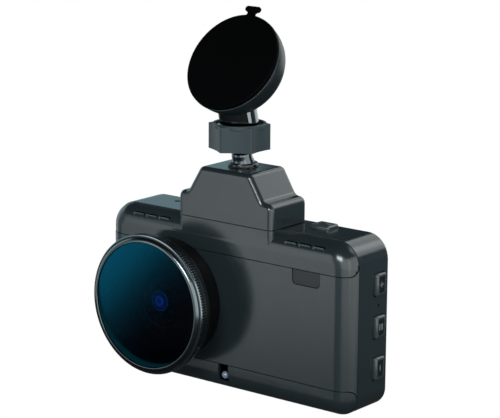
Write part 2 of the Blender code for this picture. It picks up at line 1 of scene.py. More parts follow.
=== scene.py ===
"""Looks of the dash camera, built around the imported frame.

Sizes below are millimetres in the camera frame: X across the body (0 at its middle),
Y back from the flat front face, Z up from the underside of the body. BASE, taken from the
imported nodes' own boxes, carries them into the row frame in metres.
"""
import json
from math import acos, asin, atan2, cos, degrees, pi, radians, sin, tan, tau

import bmesh
import bpy
from mathutils import Matrix, Vector


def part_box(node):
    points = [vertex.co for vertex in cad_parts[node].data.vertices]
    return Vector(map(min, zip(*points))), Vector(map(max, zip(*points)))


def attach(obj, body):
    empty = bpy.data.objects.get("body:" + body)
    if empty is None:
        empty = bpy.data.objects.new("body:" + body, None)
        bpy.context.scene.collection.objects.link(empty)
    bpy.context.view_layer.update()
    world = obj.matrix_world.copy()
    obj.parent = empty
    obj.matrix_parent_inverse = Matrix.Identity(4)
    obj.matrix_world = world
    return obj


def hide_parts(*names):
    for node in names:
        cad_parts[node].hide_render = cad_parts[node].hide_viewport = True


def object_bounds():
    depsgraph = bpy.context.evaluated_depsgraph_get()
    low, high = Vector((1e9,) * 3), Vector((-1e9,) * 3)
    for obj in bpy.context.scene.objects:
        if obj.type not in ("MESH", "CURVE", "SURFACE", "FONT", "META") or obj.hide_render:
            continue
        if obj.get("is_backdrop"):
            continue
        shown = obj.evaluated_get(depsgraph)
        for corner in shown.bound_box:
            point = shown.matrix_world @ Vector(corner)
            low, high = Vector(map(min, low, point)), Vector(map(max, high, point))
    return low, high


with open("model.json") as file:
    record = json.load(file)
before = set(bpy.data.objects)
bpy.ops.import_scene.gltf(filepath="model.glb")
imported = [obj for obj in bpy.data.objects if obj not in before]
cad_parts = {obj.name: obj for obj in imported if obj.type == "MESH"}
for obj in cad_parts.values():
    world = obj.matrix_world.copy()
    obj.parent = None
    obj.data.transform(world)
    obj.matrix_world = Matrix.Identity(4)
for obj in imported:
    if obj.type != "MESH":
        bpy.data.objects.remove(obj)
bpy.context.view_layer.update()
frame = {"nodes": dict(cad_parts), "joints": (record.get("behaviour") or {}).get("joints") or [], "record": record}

MM = 0.001
WIDTH_AXIS = (1.0, 0.0, 0.0)
DEPTH_AXIS = (0.0, 1.0, 0.0)
UP_AXIS = (0.0, 0.0, 1.0)


def node_mm(name):
    """Lowest and highest corner of a CAD node, in millimetres of the camera frame."""
    low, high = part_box(name)
    return (low - BASE) / MM, (high - BASE) / MM


REAR_LOW, REAR_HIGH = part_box("rear_shell")
FRONT_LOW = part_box("front_panel")[0]
BASE = Vector(((REAR_LOW.x + REAR_HIGH.x) / 2, FRONT_LOW.y, REAR_LOW.z))

# Body: its size from the frame, then its own features
BODY_W = (REAR_HIGH.x - REAR_LOW.x) / MM
BODY_H = (REAR_HIGH.z - REAR_LOW.z) / MM
BODY_D = (REAR_HIGH.y - FRONT_LOW.y) / MM
TOP_CORNER_R = 7.5
LOW_CORNER_R = 5.8
FRONT_SWEEP = 83.0
BACK_R = 1.4
PARTING_Y = 5.1
WALL = 1.8
SEAM = 0.24
TOP_SEAM_Z = 44.1
LOW_SEAM_Z = 8.6
SEAM_TURN_Y = 1.8
SEAM_TURN_R = 3.3
PINHOLE = (15.4, 33.0)
TOP_HOLE = (-30.8, 14.4)
SLOT_CENTRES = (-30.2, 30.6)
SLOT_OFFSETS = (-5.3, 0.0, 5.3)
SLOT_ANGLE = 38.0
EDGE_ROUND = 0.12
CUT_GAP = 0.2
SIDE_CUT = (44.0, 50.0)
TOP_CUT = (51.0, 57.0)
WINDOW_SIDES = (26.7, 37.2)
WINDOW_LOW = 39.3
WINDOW_R = 1.5

# Lens and filter: the ring from the frame
RING_LOW, RING_HIGH = node_mm("filter_ring")
LENS_X = (RING_LOW.x + RING_HIGH.x) / 2
LENS_Z = (RING_LOW.z + RING_HIGH.z) / 2
RING_R = (RING_HIGH.x - RING_LOW.x) / 2
RING_FRONT = RING_LOW.y
RING_BACK = RING_HIGH.y
KNURL_TEETH = 160
KNURL_DEPTH = 0.42
FINE_TURN = 160
ELEMENT_R = 6.7
ELEMENT_FRONT = -6.9
ELEMENT_BACK = -3.3
ELEMENT_BULGE = 3.0
CENTRE = (LENS_X, 0.0, LENS_Z)

# Bracket: its size from the frame
BRACKET_LOW, BRACKET_HIGH = node_mm("bracket_housing")
BRACKET_HALF = (BRACKET_HIGH.x - BRACKET_LOW.x) / 2
BRACKET_FRONT = BRACKET_LOW.y
BRACKET_ROUND = 1.75
BRACKET_WALL = 2.0

# Ball joint and cup
NUT_LOW, NUT_HIGH = node_mm("lock_nut")
NUT_TURN = 31.5
NUT_HOLLOW = 0.5
JOINTS = {joint["name"]: joint for joint in frame["joints"]}
BALL = (Vector(JOINTS["tilt"]["pos_m"]) - BASE) / MM
STEM_DOWN = -Vector(JOINTS["turn"]["axis"]).normalized()
NECK_LEAN = radians(14.0)
NECK_AXIS = Vector((0, -sin(NECK_LEAN), cos(NECK_LEAN)))
MOUNT = frame["record"]["mounts"][0]
PAD_CENTRE = (Vector(MOUNT["pos_m"]) - BASE) / MM
PAD_NORMAL = Vector(MOUNT["axis"]).normalized()
SOCKET_TOP = 84.0
NECK_START = Vector((BALL.x, BALL.y, SOCKET_TOP))
NECK_R = 6.0
BALL_R = 4.2
SOCKET_R = 5.7
THIN_STEM_R = 2.4

# Light and view: angles in degrees, azimuth from the front towards the right; reach and floor in metres
LIGHT_AIM = Vector((0.0, 10.0, 50.0))
LIGHT_REACH = 1.3
LIGHT_TINT = (0.94, 0.99, 1.0)
DIM_TINT = (0.56, 0.88, 1.0)
FLOOR_HALF = 6.0
FLOOR_DROP = 0.35
VIEW_AIM = Vector((0.0, 11.0, 38.0))
VIEW_AZIMUTH = 38.45
VIEW_ELEVATION = 12.99
VIEW_ROLL = 0.37
VIEW_DISTANCE = 663.7
VIEW_RIGHT = 1.395
VIEW_UP = 18.05
LENS_LENGTH = 152.35

# A noise factor rarely leaves this range
NOISE_RANGE = (0.3, 0.7)


# ---- mesh helpers

def link_object(name, data):
    made = bpy.data.objects.new(name, data)
    bpy.context.scene.collection.objects.link(made)
    return made


def link_mesh(name, shape):
    mesh = bpy.data.meshes.new(name)
    shape.to_mesh(mesh)
    shape.free()
    return link_object(name, mesh)


def placed_mesh(name, shape):
    """Turn a bmesh in camera-frame millimetres into an object in metres."""
    bmesh.ops.recalc_face_normals(shape, faces=shape.faces[:])
    bmesh.ops.transform(shape, matrix=Matrix.Translation(BASE) @ Matrix.Scale(MM, 4), verts=shape.verts[:])
    return link_mesh(name, shape)


def add_piece(name, shape, body, finish, replaced=None, sharp=35.0):
    """Make a piece that rides on a body and may stand for a CAD node."""
    piece = placed_mesh(name, shape)
    piece.data.materials.append(MATERIALS[finish])
    smooth(piece, sharp)
    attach(piece, body)
    if replaced:
        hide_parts(replaced)
    return piece


def smooth(piece, sharp=35.0):
    piece.data.shade_smooth()
    piece.data.set_sharp_from_angle(angle=radians(sharp))


def settle(piece):
    """Replace the mesh by what its modifiers make of it."""
    graph = bpy.context.evaluated_depsgraph_get()
    made = bpy.data.meshes.new_from_object(piece.evaluated_get(graph))
    piece.modifiers.clear()
    old = piece.data
    made.name = old.name
    piece.data = made
    bpy.data.meshes.remove(old)


def carve(piece, shape, operation="DIFFERENCE", sharp=35.0):
    tool = placed_mesh("tool", shape)
    modifier = piece.modifiers.new("carve", "BOOLEAN")
    modifier.operation = operation
    modifier.object = tool
    modifier.solver = "EXACT"
    settle(piece)
    bpy.data.objects.remove(tool, do_unlink=True)
    smooth(piece, sharp)


def soften(piece, width, segments=2, angle=38.0):
    """Small rounded edges with clean normals on the flat faces."""
    modifier = piece.modifiers.new("edges", "BEVEL")
    modifier.width = width * MM
    modifier.segments = segments
    modifier.limit_method = "ANGLE"
    modifier.angle_limit = radians(angle)
    modifier.miter_outer = "MITER_ARC"
    settle(piece)
    smooth(piece, 60.0)
    keep_flat(piece)


def keep_flat(piece):
    """Let the large faces set the shading, so that flat faces stay flat beside fine roundings."""
    weighted = piece.modifiers.new("normals", "WEIGHTED_NORMAL")
    weighted.keep_sharp = True
    weighted.weight = 80


# ---- shapes

def arc(radius, start, end, steps, centre=(0.0, 0.0)):
    points = []
    for step in range(steps + 1):
        angle = radians(start + (end - start) * step / steps)
        points.append((centre[0] + radius * cos(angle), centre[1] + radius * sin(angle)))
    return points


def add_box(shape, low, high, rounding=0.0, segments=3):
    size = Vector(high) - Vector(low)
    middle = (Vector(high) + Vector(low)) / 2
    matrix = Matrix.Translation(middle) @ Matrix.Diagonal((*size, 1.0))
    made = bmesh.ops.create_cube(shape, size=1.0, matrix=matrix)
    if rounding:
        edges = list({edge for vert in made["verts"] for edge in vert.link_edges})
        bmesh.ops.bevel(shape, geom=edges, offset=rounding, segments=segments, profile=0.5, affect="EDGES")


def box(low, high, rounding=0.0, segments=3):
    shape = bmesh.new()
    add_box(shape, low, high, rounding, segments)
    return shape


def add_revolve(shape, profile, centre, axis, segments=96):
    axis = Vector(axis).normalized()
    side = axis.orthogonal().normalized()
    verts = [shape.verts.new(Vector(centre) + side * r + axis * s) for r, s in profile]
    on_axis = [r < 1e-6 for r, _ in profile]
    edges = []
    for index, vert in enumerate(verts):
        other = (index + 1) % len(verts)
        if not (on_axis[index] and on_axis[other]):
            edges.append(shape.edges.new((vert, verts[other])))
    bmesh.ops.spin(shape, geom=verts + edges, cent=Vector(centre), axis=axis,
                   angle=tau, steps=segments, use_merge=True)
    bmesh.ops.remove_doubles(shape, verts=shape.verts[:], dist=1e-4)


def revolve(profile, centre, axis, segments=96):
    shape = bmesh.new()
    add_revolve(shape, profile, centre, axis, segments)
    return shape


def rod(radius, low, high):
    return [(0.0, low), (radius, low), (radius, high), (0.0, high)]


def bend_point(before, corner, after, t):
    """Point on the smooth turn from one point to another round a corner."""
    return before * (1 - t) ** 2 + corner * 2 * t * (1 - t) + after * t * t


def rounded(profile, radius, steps=3):
    """Round every corner of a closed profile that is off the axis."""
    points = []
    count = len(profile)
    for index, (r, s) in enumerate(profile):
        before = Vector(profile[index - 1])
        here = Vector((r, s))
        after = Vector(profile[(index + 1) % count])
        to_before, to_after = before - here, after - here
        reach = min(radius, to_before.length * 0.45, to_after.length * 0.45)
        if r < 1e-6 or reach < 1e-4:
            points.append((r, s))
            continue
        first = here + to_before.normalized() * reach
        last = here + to_after.normalized() * reach
        for step in range(steps + 1):
            t = step / steps
            point = bend_point(first, here, last, t)
            points.append((point.x, point.y))
    return points


def prism(outline, axis, low, high):
    """Push a flat outline along an axis, from low to high."""
    number = "xyz".index(axis)
    corners = [list(point) for point in outline]
    for corner in corners:
        corner.insert(number, low)
    direction = Vector((WIDTH_AXIS, DEPTH_AXIS, UP_AXIS)[number])
    shape = bmesh.new()
    face = shape.faces.new([shape.verts.new(corner) for corner in corners])
    made = bmesh.ops.extrude_face_region(shape, geom=[face])
    moved = [item for item in made["geom"] if isinstance(item, bmesh.types.BMVert)]
    bmesh.ops.translate(shape, vec=direction * (high - low), verts=moved)
    return shape


def laid(shape, centre, across, out):
    """Turn a shape drawn in its own X, Y, Z onto a place: X along across, Z along out."""
    up = Vector(out).cross(Vector(across))
    turn = Matrix((Vector(across), up, Vector(out))).transposed().to_4x4()
    bmesh.ops.transform(shape, matrix=Matrix.Translation(Vector(centre)) @ turn, verts=shape.verts[:])
    return shape


def body_outline(inset, steps=10):
    """Outline of the body with round corners, pulled in all round by an inset."""
    points = []
    corners = ((1, 0, LOW_CORNER_R, -90), (1, BODY_H, TOP_CORNER_R, 0),
               (-1, BODY_H, TOP_CORNER_R, 90), (-1, 0, LOW_CORNER_R, 180))
    for side, edge, radius, start in corners:
        x = side * (BODY_W / 2 - radius)
        z = abs(edge - radius)
        points += arc(max(radius - inset, 0.05), start, start + 90, steps, (x, z))
    return points


def join_rings(shape, rings):
    """Quads between each closed ring of vertices and the next."""
    for first, second in zip(rings, rings[1:]):
        for i in range(len(first)):
            j = (i + 1) % len(first)
            shape.faces.new((first[i], first[j], second[j], second[i]))


def skin(rings):
    """Join closed rings of points, first to last, and close both ends."""
    shape = bmesh.new()
    rings = [[shape.verts.new(point) for point in ring] for ring in rings]
    join_rings(shape, rings)
    shape.faces.new(rings[0])
    shape.faces.new(rings[-1])
    return shape


def body_loft(sections):
    """Skin body outlines, given as (inset, y) pairs from front to back."""
    return skin([[(x, y, z) for x, z in body_outline(inset)] for inset, y in sections])


def front_sections(wall, last_y, draw_in=0.0, steps=12):
    """Rounded front edge: an arc that stops just short of the side, which leaves a fine crease."""
    sweep = radians(FRONT_SWEEP)
    radius = PARTING_Y / (1 - cos(sweep))
    sections = []
    for step in range(steps + 1):
        angle = sweep * step / steps
        inset = radius * (sin(sweep) - sin(angle)) + wall + draw_in
        sections.append((inset, min(radius * (1 - cos(angle)) + wall, last_y - 0.01)))
    sections.append((wall + draw_in, last_y))
    return sections


# ---- materials

class Nodes:
    """A material's node tree with short calls for the nodes used here."""

    def __init__(self, name):
        self.material = bpy.data.materials.new(name)
        self.material.use_nodes = True
        self.tree = self.material.node_tree
        self.shader = self.tree.nodes["Principled BSDF"]
        self.output = self.tree.nodes["Material Output"]
        self.coords = self.new("TexCoord").outputs["Object"]

    def new(self, kind, **values):
        """Add a node; values set its inputs or its own settings, and outputs of others are linked."""
        node = self.tree.nodes.new("ShaderNode" + kind)
        for key, value in values.items():
            label = key.replace("_", " ")
            if isinstance(value, bpy.types.NodeSocket):
                self.link(value, node.inputs[label])
            elif label in node.inputs:
                node.inputs[label].default_value = value
            else:
                setattr(node, key, value)
        return node

    def link(self, source, target):
        self.tree.links.new(source, target)

    def set(self, **values):
        for key, value in values.items():
            self.shader.inputs[key.replace("_", " ")].default_value = value

    def noise(self, scale, detail=3.0, roughness=0.5):
        node = self.new("TexNoise", Vector=self.coords, Scale=scale, Detail=detail, Roughness=roughness)
        return node.outputs["Fac"]

    def ramp(self, source, stops, low=0.0, high=1.0):
        """Map a factor through colour stops placed between low and high."""
        node = self.new("ValToRGB", Fac=source)
        elements = node.color_ramp.elements
        while len(elements) < len(stops):
            elements.new(0.5)
        for index, (element, colour) in enumerate(zip(elements, stops)):
            element.position = low + (high - low) * index / (len(stops) - 1)
            element.color = (*colour, 1.0)
        return node.outputs["Color"]

    def vector(self, operation, source, value):
        node = self.new("VectorMath", operation=operation)
        self.link(source, node.inputs[0])
        node.inputs[1].default_value = value
        return node

    def offset_from(self, centre):
        """Position measured from a point in camera-frame millimetres."""
        return self.vector("SUBTRACT", self.coords, BASE + Vector(centre) * MM).outputs["Vector"]

    def distance_from(self, centre):
        """Distance from an axis through the lens plane, in units of the filter ring's radius."""
        flat = self.vector("MULTIPLY", self.offset_from(centre), (1 / (RING_R * MM), 0.0, 1 / (RING_R * MM)))
        return self.new("VectorMath", operation="LENGTH", Vector=flat.outputs["Vector"]).outputs["Value"]

    def along(self, line, centre):
        """Position along a line from a point, in units of the filter ring's radius."""
        unit = Vector(line).normalized() / (RING_R * MM)
        return self.vector("DOT_PRODUCT", self.offset_from(centre), unit).outputs["Value"]

    def remap(self, source, low, high, start=0.0, end=1.0):
        node = self.new("MapRange", Value=source, From_Min=low, From_Max=high, To_Min=start, To_Max=end)
        return node.outputs["Result"]

    def blend(self, factor, first, second):
        node = self.new("Mix", data_type="RGBA")
        self.link(factor, node.inputs[0])
        self.link(first, node.inputs[6])
        self.link(second, node.inputs[7])
        return node.outputs[2]

    def greater(self, first, second):
        node = self.new("Math", operation="MAXIMUM")
        self.link(first, node.inputs[0])
        self.link(second, node.inputs[1])
        return node.outputs["Value"]

    def paint(self, source, name="Base Color"):
        """Feed one of the shader's own inputs."""
        self.link(source, self.shader.inputs[name])

    def gloss(self, scale, detail, low, high):
        """Roughness that drifts between two values."""
        self.paint(self.remap(self.noise(scale, detail), *NOISE_RANGE, low, high), "Roughness")

    def bump(self, source, distance):
        self.paint(self.new("Bump", Height=source, Distance=distance).outputs["Normal"], "Normal")


def scaled(colour, factor):
    return tuple(value * factor for value in colour)


def surface(name, tones, cloud, gloss, band=(0.0, 1.0), **settings):
    """A finish whose colour and gloss both drift a little; settings go to the shader itself."""
    nodes = Nodes(name)
    nodes.paint(nodes.ramp(nodes.noise(*cloud), tones, *band))
    nodes.gloss(*gloss)
    nodes.set(**settings)
    return nodes


def moulded(name, colour, roughness, grain=0.000005, variation=0.05, specular=0.5):
    """Satin moulded plastic with a spark-eroded grain."""
    tones = (scaled(colour, 1 - variation), scaled(colour, 1 + variation))
    gloss = (220.0, 3.0, roughness - 0.012, roughness + 0.012)
    nodes = surface(name, tones, (28.0, 4.0), gloss, (0.35, 0.65), Specular_IOR_Level=specular)
    nodes.bump(nodes.noise(3200.0, 2.0, 0.6), grain)
    return nodes.material


def anodised():
    """Black anodised aluminium with a fine etched grain."""
    tones = ((0.016, 0.020, 0.023), (0.024, 0.029, 0.033))
    nodes = surface("anodised black", tones, (60.0, 3.0), (900.0, 2.0, 0.24, 0.34), Metallic=0.75)
    nodes.bump(nodes.noise(5200.0, 2.0), 0.000006)
    return nodes.material


def turned(name, colour, roughness):
    """Black-plated metal straight off the lathe."""
    tones = (scaled(colour, 0.9), colour)
    gloss = (400.0, 2.0, roughness - 0.015, roughness + 0.015)
    return surface(name, tones, (90.0, 3.0), gloss, (0.35, 0.65), Metallic=1.0).material


def metal(name, colour, roughness):
    gloss = (600.0, 3.0, roughness - 0.06, roughness + 0.06)
    return surface(name, (scaled(colour, 0.85), colour), (120.0, 4.0), gloss, Metallic=1.0).material


def rubber(name, colour, roughness):
    """Soft moulded rubber: dull, with a faint bloom and a very fine skin."""
    gloss = (160.0, 4.0, roughness - 0.06, roughness + 0.06)
    tones = (colour, scaled(colour, 1.25))
    nodes = surface(name, tones, (45.0, 5.0), gloss, (0.3, 0.7), Specular_IOR_Level=0.02)
    nodes.bump(nodes.noise(1800.0, 3.0), 0.000010)
    return nodes.material


def polished(name, tones, cloud, gloss, **settings):
    """Glass or clear plastic under a thin polished coat."""
    return surface(name, tones, cloud, gloss, Coat_Roughness=0.02, **settings).material


def glass_with_painted_reflection():
    """The filter glass: its teal tint is a painted reflection that runs from teal to near black across the disc.

    A thin curved band by the lower left edge is painted reflection as well, and the specular tint follows the same
    gradient.
    The disc is clearest at its middle, where the lens shows through.
    """
    nodes = Nodes("filter glass with painted reflection")
    across = nodes.remap(nodes.along((-1.0, 0.0, 1.0), CENTRE), -0.72, 0.85)
    # painted reflection: teal to near black across the disc, where a softbox would be mirrored
    painted_reflection_fade = ((0.0002, 0.0003, 0.0006), (0.0002, 0.0006, 0.0014), (0.0002, 0.0024, 0.0045),
            (0.0002, 0.0110, 0.0190), (0.0002, 0.0300, 0.0520), (0.0002, 0.0420, 0.0760))
    black, white = (0.0, 0.0, 0.0), (1.0, 1.0, 1.0)
    # painted reflection: a thin teal band just inside the lower left edge of the disc
    offset = nodes.distance_from((LENS_X + 2.2, 0.0, LENS_Z + 3.6))
    painted_crescent = nodes.ramp(offset, (black, (0.0002, 0.0120, 0.0170)), 0.955, 1.0)
    near_edge = nodes.ramp(offset, (black, black, white), 0.90, 0.985)
    nodes.paint(nodes.blend(near_edge, nodes.ramp(across, painted_reflection_fade), painted_crescent))
    # painted reflection: the specular tint follows the same teal gradient
    nodes.paint(nodes.ramp(across, ((0.0, 0.05, 0.10), (0.0, 0.30, 0.50))), "Specular Tint")
    from_middle = nodes.remap(nodes.distance_from(CENTRE), 0.10, 0.90, 0.20, 1.0)
    nodes.paint(nodes.greater(nodes.remap(across, 0.1, 0.9, 0.50, 0.97), from_middle), "Alpha")
    nodes.gloss(40.0, 3.0, 0.06, 0.10)
    nodes.set(IOR=1.08)
    return nodes.material


def element_with_painted_glow():
    """Front element: deep blue with a painted glow, an emission that brightens over the aperture."""
    nodes = Nodes("front element painted glow")
    radius = nodes.distance_from(CENTRE)
    # painted highlight: blue, brightest near the middle of the element
    painted_glow_blues = ((0.002, 0.020, 0.260), (0.004, 0.050, 0.480), (0.002, 0.020, 0.200),
             (0.001, 0.010, 0.080), (0.0002, 0.0015, 0.006))
    coat = nodes.ramp(radius, painted_glow_blues, 0.02, 0.16)
    nodes.paint(coat)
    # painted glow: the same blues drive an emission, strongest over the aperture
    nodes.paint(coat, "Emission Color")
    nodes.paint(nodes.ramp(radius, ((1.5, 1.5, 1.5), (0.3, 0.3, 0.3)), 0.0, 0.3), "Emission Strength")
    nodes.gloss(50.0, 3.0, 0.14, 0.18)
    nodes.set(IOR=1.25)
    return nodes.material


def glow(name, colour, strength):
    """A thin line that glows by emission: a painted highlight that keeps its colour in the dark inside of the
    lens.
    """
    nodes = Nodes(name)
    tint = nodes.ramp(nodes.noise(300.0, 2.0), (scaled(colour, 0.7), colour), 0.35, 0.65)
    nodes.paint(tint)
    nodes.paint(tint, "Emission Color")
    nodes.gloss(90.0, 3.0, 0.25, 0.35)
    nodes.set(Emission_Strength=strength)
    return nodes.material


def make_materials():
    return {
        "body": moulded("anthracite moulding", (0.0100, 0.0140, 0.0160), 0.20),
        "nut": moulded("nut moulding", (0.021, 0.031, 0.035), 0.40, specular=0.22),
        "button": moulded("button moulding", (0.022, 0.028, 0.030), 0.20),
        # painted highlight: pale moulding for the light caught on the sound slots' lower lips
        "lip": moulded("slot lip painted highlight", (0.060, 0.075, 0.080), 0.25),
        "icon": moulded("button icon ink", (0.110, 0.130, 0.135), 0.5),
        "dark": moulded("dark moulding", (0.018, 0.020, 0.022), 0.5),
        "inlay": moulded("button inlay", (0.0040, 0.0055, 0.0065), 0.30, specular=0.20),
        "window": moulded("smoked window", (0.010, 0.012, 0.013), 0.30, 0.000004, specular=0.30),
        "shroud": moulded("shroud moulding", (0.0022, 0.0027, 0.0030), 0.45, 0.0, specular=0.06),
        "ring": anodised(),
        "edge": turned("bright cut edge", (0.20, 0.23, 0.24), 0.18),
        "face": turned("ring face", (0.105, 0.120, 0.126), 0.20),
        "knurl": turned("cut knurl", (0.170, 0.195, 0.205), 0.26),
        "stem": turned("stem finish", (0.085, 0.098, 0.104), 0.14),
        # the lens finishes below paint light: the filter's reflection, the element's glow and two emitting
        # highlight lines
        "filter": glass_with_painted_reflection(),
        "element": element_with_painted_glow(),
        "line": glow("lens edge painted highlight", (0.002, 0.014, 0.019), 0.50),
        "blue": glow("blue painted highlight line", (0.006, 0.120, 0.640), 1.3),
        "bead": polished("clear bead", ((0.128, 0.152, 0.216), (0.16, 0.19, 0.27)), (80.0, 2.0),
                         (50.0, 3.0, 0.02, 0.05), Alpha=0.7, IOR=1.6, Coat_Weight=1.0),
        "lens_black": moulded("lens barrel black", (0.0012, 0.0012, 0.0016), 0.45, 0.0, specular=0.03),
        "chrome": surface("black chrome", ((0.140, 0.146, 0.150), (0.165, 0.170, 0.174)), (70.0, 3.0),
                          (300.0, 2.0, 0.03, 0.045), Metallic=1.0).material,
        "collar": moulded("stem collar", (0.0010, 0.0012, 0.0014), 0.16, 0.000002, 0.20),
        "pad": rubber("suction pad rubber", (0.0004, 0.0004, 0.0005), 0.60),
        "dome": moulded("dome moulding", (0.007, 0.010, 0.011), 0.38, specular=0.25),
        "steel": metal("plated steel", (0.42, 0.43, 0.44), 0.32),
        "screen": polished("screen cover glass", ((0.004, 0.004, 0.005), (0.006, 0.006, 0.008)), (20.0, 3.0),
                           (90.0, 3.0, 0.03, 0.07), IOR=1.5, Coat_Weight=0.5),
        "card": moulded("memory card", (0.015, 0.015, 0.017), 0.45),
        "board": moulded("solder resist", (0.012, 0.080, 0.040), 0.45),
        "lcd": moulded("screen active area", (0.010, 0.012, 0.016), 0.12, 0.000002),
        "pale": moulded("natural nylon", (0.55, 0.55, 0.50), 0.45),
    }


MATERIALS = make_materials()


# ---- camera body pieces

def seam_region(seam_z, upward, clearance):
    """Everything above (or below) a seam, which turns away from the front near the parting line."""
    sign = 1.0 if upward else -1.0
    level = seam_z + sign * clearance
    before, far = -10.0, 60.0
    curve = arc(SEAM_TURN_R, -90, -3, 12, (SEAM_TURN_Y, SEAM_TURN_R))
    side = [(y - clearance, level + sign * z) for y, z in curve]
    beyond = level + sign * far
    return prism([(before, level)] + side + [(side[-1][0], beyond), (before, beyond)], "x", -far, far)


def front_shell(name, node, finish, draw_in=0.0):
    shape = body_loft(front_sections(0.0, PARTING_Y - SEAM / 2, draw_in))
    piece = add_piece(name, shape, "camera", finish, node)
    carve(piece, body_loft(front_sections(WALL, PARTING_Y + 2.0, draw_in, 6)))
    return piece


def window_outline(inset, high):
    left, right = WINDOW_SIDES[0] + inset, WINDOW_SIDES[1] - inset
    middle_z = WINDOW_LOW + inset + WINDOW_R
    points = arc(WINDOW_R, 180, 270, 8, (left + WINDOW_R, middle_z))
    points += arc(WINDOW_R, 270, 360, 8, (right - WINDOW_R, middle_z))
    return points + [(right, high), (left, high)]


def make_front_panel():
    piece = front_shell("front_panel_shell", "front_panel", "body")
    carve(piece, seam_region(TOP_SEAM_Z, True, -SEAM / 2))
    carve(piece, seam_region(LOW_SEAM_Z, False, -SEAM / 2))
    lens_hole = rod(16.7, -3.0, 6.0)
    carve(piece, revolve(lens_hole, CENTRE, DEPTH_AXIS, 72))
    carve(piece, prism(window_outline(0.0, TOP_SEAM_Z + 1.4), "y", -1.0, 1.0))
    soften(piece, EDGE_ROUND)
    window = prism(window_outline(SEAM / 2, TOP_SEAM_Z - SEAM / 2), "y", 0.12, 0.8)
    pane = add_piece("sensor_window_pane", window, "camera", "window", "sensor_window")
    soften(pane, EDGE_ROUND)


def slot_cutters(centre_x):
    """A shallow tray with three holes through the wall."""
    shape = bmesh.new()
    add_box(shape, (-8.2, -1.05, -0.7), (8.2, 1.05, 1.5), 0.3, 2)
    for offset in SLOT_OFFSETS:
        add_box(shape, (offset - 2.1, -0.35, -4.0), (offset + 2.1, 0.35, 1.0))
    return on_slot(shape, centre_x)


def on_slot(shape, centre_x):
    """Lay a shape on the rounded front edge, where the sound slots are."""
    angle = radians(SLOT_ANGLE)
    out = Vector((0, -cos(angle), sin(angle)))
    spot = Vector((centre_x, PARTING_Y, BODY_H - PARTING_Y)) + out * (PARTING_Y + 0.1)
    return laid(shape, spot, WIDTH_AXIS, out)


def slot_lip_highlights(centre_x):
    """Three short pale bars along the lower lip of a sound slot, each starting with a small tick: a painted
    highlight where light catches the lip.
    """
    shape = bmesh.new()
    for offset in SLOT_OFFSETS:
        add_box(shape, (offset - 2.1, -0.62, -0.72), (offset + 1.9, -0.34, 0.10), 0.06, 1)
        add_box(shape, (offset - 1.9, -1.10, -0.72), (offset - 1.55, -0.60, 0.10), 0.06, 1)
    return on_slot(shape, centre_x)


def make_top_cap():
    piece = front_shell("top_cap_shell", "top_front_cap", "body", 0.15)
    carve(piece, seam_region(TOP_SEAM_Z, True, SEAM / 2), "INTERSECT")
    rim = BRACKET_ROUND
    outline = [(BRACKET_HALF, PARTING_Y - SEAM / 2)]
    outline += arc(rim, 0, -90, 6, (BRACKET_HALF - rim, BRACKET_FRONT + rim))
    outline += [(-x, y) for x, y in reversed(outline)]
    carve(piece, prism(outline, "z", BODY_H - 6.0, BODY_H + 0.05), "UNION")
    for centre_x in SLOT_CENTRES:
        carve(piece, slot_cutters(centre_x))
    soften(piece, EDGE_ROUND)
    # pale bars that paint the highlight on each slot's lower lip
    for side, centre_x in zip(("left", "right"), SLOT_CENTRES):
        add_piece(f"sound_slot_lips_{side}", slot_lip_highlights(centre_x), "camera", "lip")


def make_bottom_cap():
    """Bottom cap with a small bay for the indicator, its black backing and its clear bead."""
    piece = front_shell("bottom_cap_shell", "bottom_front_cap", "body")
    carve(piece, seam_region(LOW_SEAM_Z, False, SEAM / 2), "INTERSECT")
    bay_half, bay_back = 2.0, 1.2
    carve(piece, box((-bay_half, -1.0, 3.2), (bay_half, bay_back, 12.0)))
    soften(piece, EDGE_ROUND)
    backing = box((-bay_half - 0.1, bay_back, 3.1), (bay_half + 0.1, bay_back + 0.3, 8.4))
    add_piece("indicator_backing", backing, "camera", "lens_black")
    bead = [(0, 0.25), (0.6, 0.32), (1.05, 0.65), (1.25, 1.05), (1.25, 1.15), (0, 1.15)]
    add_piece("indicator_bead", revolve(bead, (0, 0, 4.9), DEPTH_AXIS, 40), "camera", "bead",
              "indicator_lens")


def side_buttons():
    """Corners of the three side buttons, by name."""
    return {name: node_mm(f"{name}_button") for name in ("plus", "menu", "minus")}


